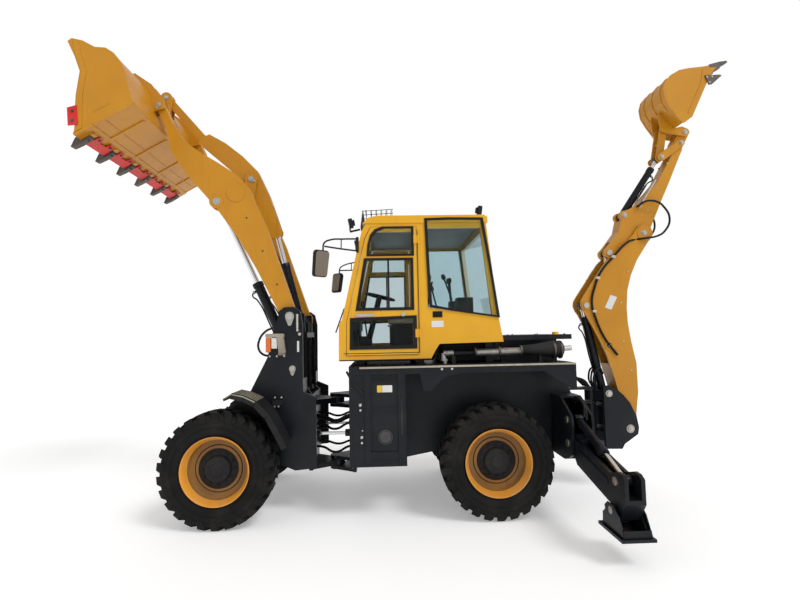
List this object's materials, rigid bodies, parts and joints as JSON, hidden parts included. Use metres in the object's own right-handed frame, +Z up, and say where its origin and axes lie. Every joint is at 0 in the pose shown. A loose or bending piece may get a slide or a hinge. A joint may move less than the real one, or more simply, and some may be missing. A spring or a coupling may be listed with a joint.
{
  "type": "backhoe loader",
  "caption": "Articulated backhoe loader with a raised front bucket, glazed cab, folded backhoe boom and dipper, and side stabilisers that swing down.",
  "frame": {"origin": "middle of the bounding box, on the ground under the tyres", "axes": "+X forward towards the loader bucket, +Y to the driver's left, +Z up"},
  "size_m": [7.535, 4.28, 5.262],
  "materials": {
    "yellow": "weathered gloss yellow paint",
    "black": "worn black paint",
    "tyre": "dusty block tread",
    "rim": "weathered yellow paint",
    "chrome": "polished plating",
    "glass": "clear with a pale tint",
    "seat": "cloth cover",
    "trim": "dark matt coating"
  },
  "bodies": {
    "rear_frame": {"rear_frame": "black", "engine": "trim", "engine_hood": "black", "exhaust": "trim", "rear_axle": "black", "cab_frame": "yellow", "cab_roof": "yellow", "cab_floor": "trim", "seat": "seat", "steering_column": "trim", "cab_glass": "glass"},
    "front_frame": {"front_frame": "black", "front_axle": "black"},
    "left_door": {"left_door": "yellow", "left_door_glass": "glass"},
    "right_door": {"right_door": "yellow", "right_door_glass": "glass"},
    "front_left_wheel": {"front_left_tyre": "tyre", "front_left_rim": "rim"},
    "front_right_wheel": {"front_right_tyre": "tyre", "front_right_rim": "rim"},
    "rear_left_wheel": {"rear_left_tyre": "tyre", "rear_left_rim": "rim"},
    "rear_right_wheel": {"rear_right_tyre": "tyre", "rear_right_rim": "rim"},
    "lift_arms": {"lift_arms": "yellow"},
    "bell_crank": {"bell_crank": "yellow"},
    "tilt_link": {"tilt_link": "yellow"},
    "loader_bucket": {"loader_bucket": "yellow"},
    "tilt_barrel": {"tilt_barrel": "black"},
    "tilt_rod": {"tilt_rod": "chrome"},
    "swing_post": {"swing_post": "black"},
    "boom": {"boom": "yellow"},
    "dipper": {"dipper": "yellow"},
    "backhoe_bucket": {"backhoe_bucket": "yellow"},
    "rocker": {"rocker": "black"},
    "bucket_link": {"bucket_link": "black"},
    "boom_barrel": {"boom_barrel": "black"},
    "boom_rod": {"boom_rod": "chrome"},
    "dipper_barrel": {"dipper_barrel": "black"},
    "dipper_rod": {"dipper_rod": "chrome"},
    "bucket_barrel": {"bucket_barrel": "black"},
    "bucket_rod": {"bucket_rod": "chrome"},
    "left_lift_barrel": {"left_lift_barrel": "black"},
    "left_lift_rod": {"left_lift_rod": "chrome"},
    "left_steering_barrel": {"left_steering_barrel": "black"},
    "left_steering_rod": {"left_steering_rod": "chrome"},
    "left_stabiliser": {"left_stabiliser": "black"},
    "left_pad": {"left_pad": "black"},
    "left_leg_barrel": {"left_leg_barrel": "black"},
    "left_leg_rod": {"left_leg_rod": "chrome"},
    "right_lift_barrel": {"right_lift_barrel": "black"},
    "right_lift_rod": {"right_lift_rod": "chrome"},
    "right_steering_barrel": {"right_steering_barrel": "black"},
    "right_steering_rod": {"right_steering_rod": "chrome"},
    "right_stabiliser": {"right_stabiliser": "black"},
    "right_pad": {"right_pad": "black"},
    "right_leg_barrel": {"right_leg_barrel": "black"},
    "right_leg_rod": {"right_leg_rod": "chrome"}
  },
  "joints": [
    {"name": "front_left_wheel_spin", "type": "hinge", "parent": "front_frame", "child": "front_left_wheel", "pos_m": [2.3215, 0.863, 0.585], "axis": [0, 1, 0], "continuous": true},
    {"name": "front_right_wheel_spin", "type": "hinge", "parent": "front_frame", "child": "front_right_wheel", "pos_m": [2.3215, -0.863, 0.585], "axis": [0, 1, 0], "continuous": true},
    {"name": "rear_left_wheel_spin", "type": "hinge", "parent": "rear_frame", "child": "rear_left_wheel", "pos_m": [-0.5385, 0.863, 0.585], "axis": [0, 1, 0], "continuous": true},
    {"name": "rear_right_wheel_spin", "type": "hinge", "parent": "rear_frame", "child": "rear_right_wheel", "pos_m": [-0.5385, -0.863, 0.585], "axis": [0, 1, 0], "continuous": true},
    {"name": "steering", "type": "hinge", "parent": "rear_frame", "child": "front_frame", "pos_m": [1.1915, 0, 0.585], "axis": [0, 0, 1], "range_deg": [-32, 32]},
    {"name": "left_door_hinge", "type": "hinge", "parent": "rear_frame", "child": "left_door", "pos_m": [0.2195, 0.822, 2.3], "axis": [0, 0, 1], "range_deg": [0, 95]},
    {"name": "right_door_hinge", "type": "hinge", "parent": "rear_frame", "child": "right_door", "pos_m": [0.2195, -0.822, 2.3], "axis": [0, 0, -1], "range_deg": [0, 95]},
    {"name": "loader_lift", "type": "hinge", "parent": "front_frame", "child": "lift_arms", "pos_m": [1.6435, 0, 2.138], "axis": [0, -1, 0], "range_deg": [-101.5, 0]},
    {"name": "loader_tip", "type": "hinge", "parent": "lift_arms", "child": "loader_bucket", "pos_m": [3.1055, 0, 4.56], "axis": [0, 1, 0], "range_deg": [-150, 0]},
    {"name": "left_lift_barrel_pivot", "type": "hinge", "parent": "front_frame", "child": "left_lift_barrel", "pos_m": [1.6155, 0.4, 1.564], "axis": [0, -1, 0], "range_deg": [-88.97, 0]},
    {"name": "left_lift_rod_slide", "type": "slide", "parent": "left_lift_barrel", "child": "left_lift_rod", "axis": [0.4109, 0, 0.9117], "range_m": [-0.81772, 0]},
    {"name": "right_lift_barrel_pivot", "type": "hinge", "parent": "front_frame", "child": "right_lift_barrel", "pos_m": [1.6155, -0.4, 1.564], "axis": [0, -1, 0], "range_deg": [-88.97, 0]},
    {"name": "right_lift_rod_slide", "type": "slide", "parent": "right_lift_barrel", "child": "right_lift_rod", "axis": [0.4109, 0, 0.9117], "range_m": [-0.81772, 0]},
    {"name": "bell_crank_pivot", "type": "hinge", "parent": "lift_arms", "child": "bell_crank", "pos_m": [2.2085, 0, 3.859], "axis": [0, 1, 0], "range_deg": [0, 59.86]},
    {"name": "tilt_link_pivot", "type": "hinge", "parent": "loader_bucket", "child": "tilt_link", "pos_m": [3.2645, 0, 4.916], "axis": [0, 1, 0], "range_deg": [0, 97.99]},
    {"name": "tilt_barrel_pivot", "type": "hinge", "parent": "lift_arms", "child": "tilt_barrel", "pos_m": [1.6435, 0, 2.138], "axis": [0, 1, 0], "range_deg": [-19.51, 0]},
    {"name": "tilt_rod_slide", "type": "slide", "parent": "tilt_barrel", "child": "tilt_rod", "axis": [0.2481, 0, 0.9687], "range_m": [0, 0.55089]},
    {"name": "left_steering_barrel_pivot", "type": "hinge", "parent": "rear_frame", "child": "left_steering_barrel", "pos_m": [0.4715, 0.32, 0.8], "axis": [0, 0, 1], "range_deg": [-6.54, 6.54]},
    {"name": "left_steering_rod_slide", "type": "slide", "parent": "left_steering_barrel", "child": "left_steering_rod", "axis": [0.9999, 0.0109, 0], "range_m": [-0.17835, 0.17835]},
    {"name": "right_steering_barrel_pivot", "type": "hinge", "parent": "rear_frame", "child": "right_steering_barrel", "pos_m": [0.4715, -0.32, 0.8], "axis": [0, 0, 1], "range_deg": [-6.54, 6.54]},
    {"name": "right_steering_rod_slide", "type": "slide", "parent": "right_steering_barrel", "child": "right_steering_rod", "axis": [0.9999, -0.0109, 0], "range_m": [-0.17835, 0.17835]},
    {"name": "backhoe_swing", "type": "hinge", "parent": "rear_frame", "child": "swing_post", "pos_m": [-1.9485, 0, 0.722], "axis": [0, 0, 1], "range_deg": [-90, 90]},
    {"name": "boom_lift", "type": "hinge", "parent": "swing_post", "child": "boom", "pos_m": [-2.3515, 0, 0.722], "axis": [0, 1, 0], "range_deg": [-105, 0]},
    {"name": "dipper_crowd", "type": "hinge", "parent": "boom", "child": "dipper", "pos_m": [-2.6695, 0, 3.12], "axis": [0, 1, 0], "range_deg": [-110, 0]},
    {"name": "backhoe_bucket_curl", "type": "hinge", "parent": "dipper", "child": "backhoe_bucket", "pos_m": [-3.2945, 0, 4.427], "axis": [0, 1, 0], "range_deg": [-150, 0]},
    {"name": "boom_barrel_pivot", "type": "hinge", "parent": "swing_post", "child": "boom_barrel", "pos_m": [-2.1085, 0, 1.149], "axis": [0, 1, 0], "range_deg": [-112.96, 0]},
    {"name": "boom_rod_slide", "type": "slide", "parent": "boom_barrel", "child": "boom_rod", "axis": [0.1968, 0, 0.9804], "range_m": [0, 0.75401]},
    {"name": "dipper_barrel_pivot", "type": "hinge", "parent": "boom", "child": "dipper_barrel", "pos_m": [-2.1575, 0, 1.73], "axis": [0, 1, 0], "range_deg": [-9.21, 0]},
    {"name": "dipper_rod_slide", "type": "slide", "parent": "dipper_barrel", "child": "dipper_rod", "axis": [-0.0676, 0, 0.9977], "range_m": [0, 0.77468]},
    {"name": "rocker_pivot", "type": "hinge", "parent": "dipper", "child": "rocker", "pos_m": [-3.2245, 0, 4.279], "axis": [0, 1, 0], "range_deg": [-114.65, 0]},
    {"name": "bucket_link_pivot", "type": "hinge", "parent": "rocker", "child": "bucket_link", "pos_m": [-2.9595, 0, 4.097], "axis": [0, 1, 0], "range_deg": [0, 23.62]},
    {"name": "bucket_barrel_pivot", "type": "hinge", "parent": "dipper", "child": "bucket_barrel", "pos_m": [-2.4475, 0, 3.356], "axis": [0, 1, 0], "range_deg": [0, 4.42]},
    {"name": "bucket_rod_slide", "type": "slide", "parent": "bucket_barrel", "child": "bucket_rod", "axis": [-0.5685, 0, 0.8227], "range_m": [0, 0.53406]},
    {"name": "left_stabiliser_pivot", "type": "hinge", "parent": "rear_frame", "child": "left_stabiliser", "pos_m": [-1.396, 0.98, 0.76], "axis": [1, 0, 0], "range_deg": [-14, 78]},
    {"name": "left_pad_pivot", "type": "hinge", "parent": "left_stabiliser", "child": "left_pad", "pos_m": [-1.396, 1.905, 0.4], "axis": [1, 0, 0], "range_deg": [-20, 20]},
    {"name": "left_leg_barrel_pivot", "type": "hinge", "parent": "rear_frame", "child": "left_leg_barrel", "pos_m": [-1.396, 0.98, 1], "axis": [1, 0, 0], "range_deg": [-15.36, 85.57]},
    {"name": "left_leg_rod_slide", "type": "slide", "parent": "left_leg_barrel", "child": "left_leg_rod", "axis": [0, 0.9406, -0.3394], "range_m": [-0.27878, 0.05004]},
    {"name": "right_stabiliser_pivot", "type": "hinge", "parent": "rear_frame", "child": "right_stabiliser", "pos_m": [-1.396, -0.98, 0.76], "axis": [-1, 0, 0], "range_deg": [-14, 78]},
    {"name": "right_pad_pivot", "type": "hinge", "parent": "right_stabiliser", "child": "right_pad", "pos_m": [-1.396, -1.905, 0.4], "axis": [-1, 0, 0], "range_deg": [-20, 20]},
    {"name": "right_leg_barrel_pivot", "type": "hinge", "parent": "rear_frame", "child": "right_leg_barrel", "pos_m": [-1.396, -0.98, 1], "axis": [-1, 0, 0], "range_deg": [-15.36, 85.57]},
    {"name": "right_leg_rod_slide", "type": "slide", "parent": "right_leg_barrel", "child": "right_leg_rod", "axis": [0, -0.9406, -0.3394], "range_m": [-0.27878, 0.05004]}
  ],
  "couplings": [
    {"joint": "left_lift_barrel_pivot", "follows": "loader_lift", "ratio": 0.8766},
    {"joint": "left_lift_rod_slide", "follows": "loader_lift", "m_per_rad": 0.4616},
    {"joint": "right_lift_barrel_pivot", "follows": "loader_lift", "ratio": 0.8766},
    {"joint": "right_lift_rod_slide", "follows": "loader_lift", "m_per_rad": 0.4616},
    {"joint": "bell_crank_pivot", "follows": "loader_tip", "ratio": -0.39907},
    {"joint": "tilt_link_pivot", "follows": "loader_tip", "ratio": -0.65328},
    {"joint": "tilt_barrel_pivot", "follows": "loader_tip", "ratio": 0.13006},
    {"joint": "tilt_rod_slide", "follows": "loader_tip", "m_per_rad": -0.21042},
    {"joint": "left_steering_barrel_pivot", "follows": "steering", "ratio": 0.20437},
    {"joint": "left_steering_rod_slide", "follows": "steering", "m_per_rad": -0.31934},
    {"joint": "right_steering_barrel_pivot", "follows": "steering", "ratio": 0.20437},
    {"joint": "right_steering_rod_slide", "follows": "steering", "m_per_rad": 0.31934},
    {"joint": "boom_barrel_pivot", "follows": "boom_lift", "ratio": 1.0758},
    {"joint": "boom_rod_slide", "follows": "boom_lift", "m_per_rad": -0.41144},
    {"joint": "dipper_barrel_pivot", "follows": "dipper_crowd", "ratio": 0.08374},
    {"joint": "dipper_rod_slide", "follows": "dipper_crowd", "m_per_rad": -0.40351},
    {"joint": "rocker_pivot", "follows": "backhoe_bucket_curl", "ratio": 0.76436},
    {"joint": "bucket_link_pivot", "follows": "backhoe_bucket_curl", "ratio": -0.15744},
    {"joint": "bucket_barrel_pivot", "follows": "backhoe_bucket_curl", "ratio": -0.02949},
    {"joint": "bucket_rod_slide", "follows": "backhoe_bucket_curl", "m_per_rad": -0.204},
    {"joint": "left_leg_barrel_pivot", "follows": "left_stabiliser_pivot", "ratio": 1.0971},
    {"joint": "left_leg_rod_slide", "follows": "left_stabiliser_pivot", "m_per_rad": -0.20478},
    {"joint": "right_leg_barrel_pivot", "follows": "right_stabiliser_pivot", "ratio": 1.0971},
    {"joint": "right_leg_rod_slide", "follows": "right_stabiliser_pivot", "m_per_rad": -0.20478}
  ]
}
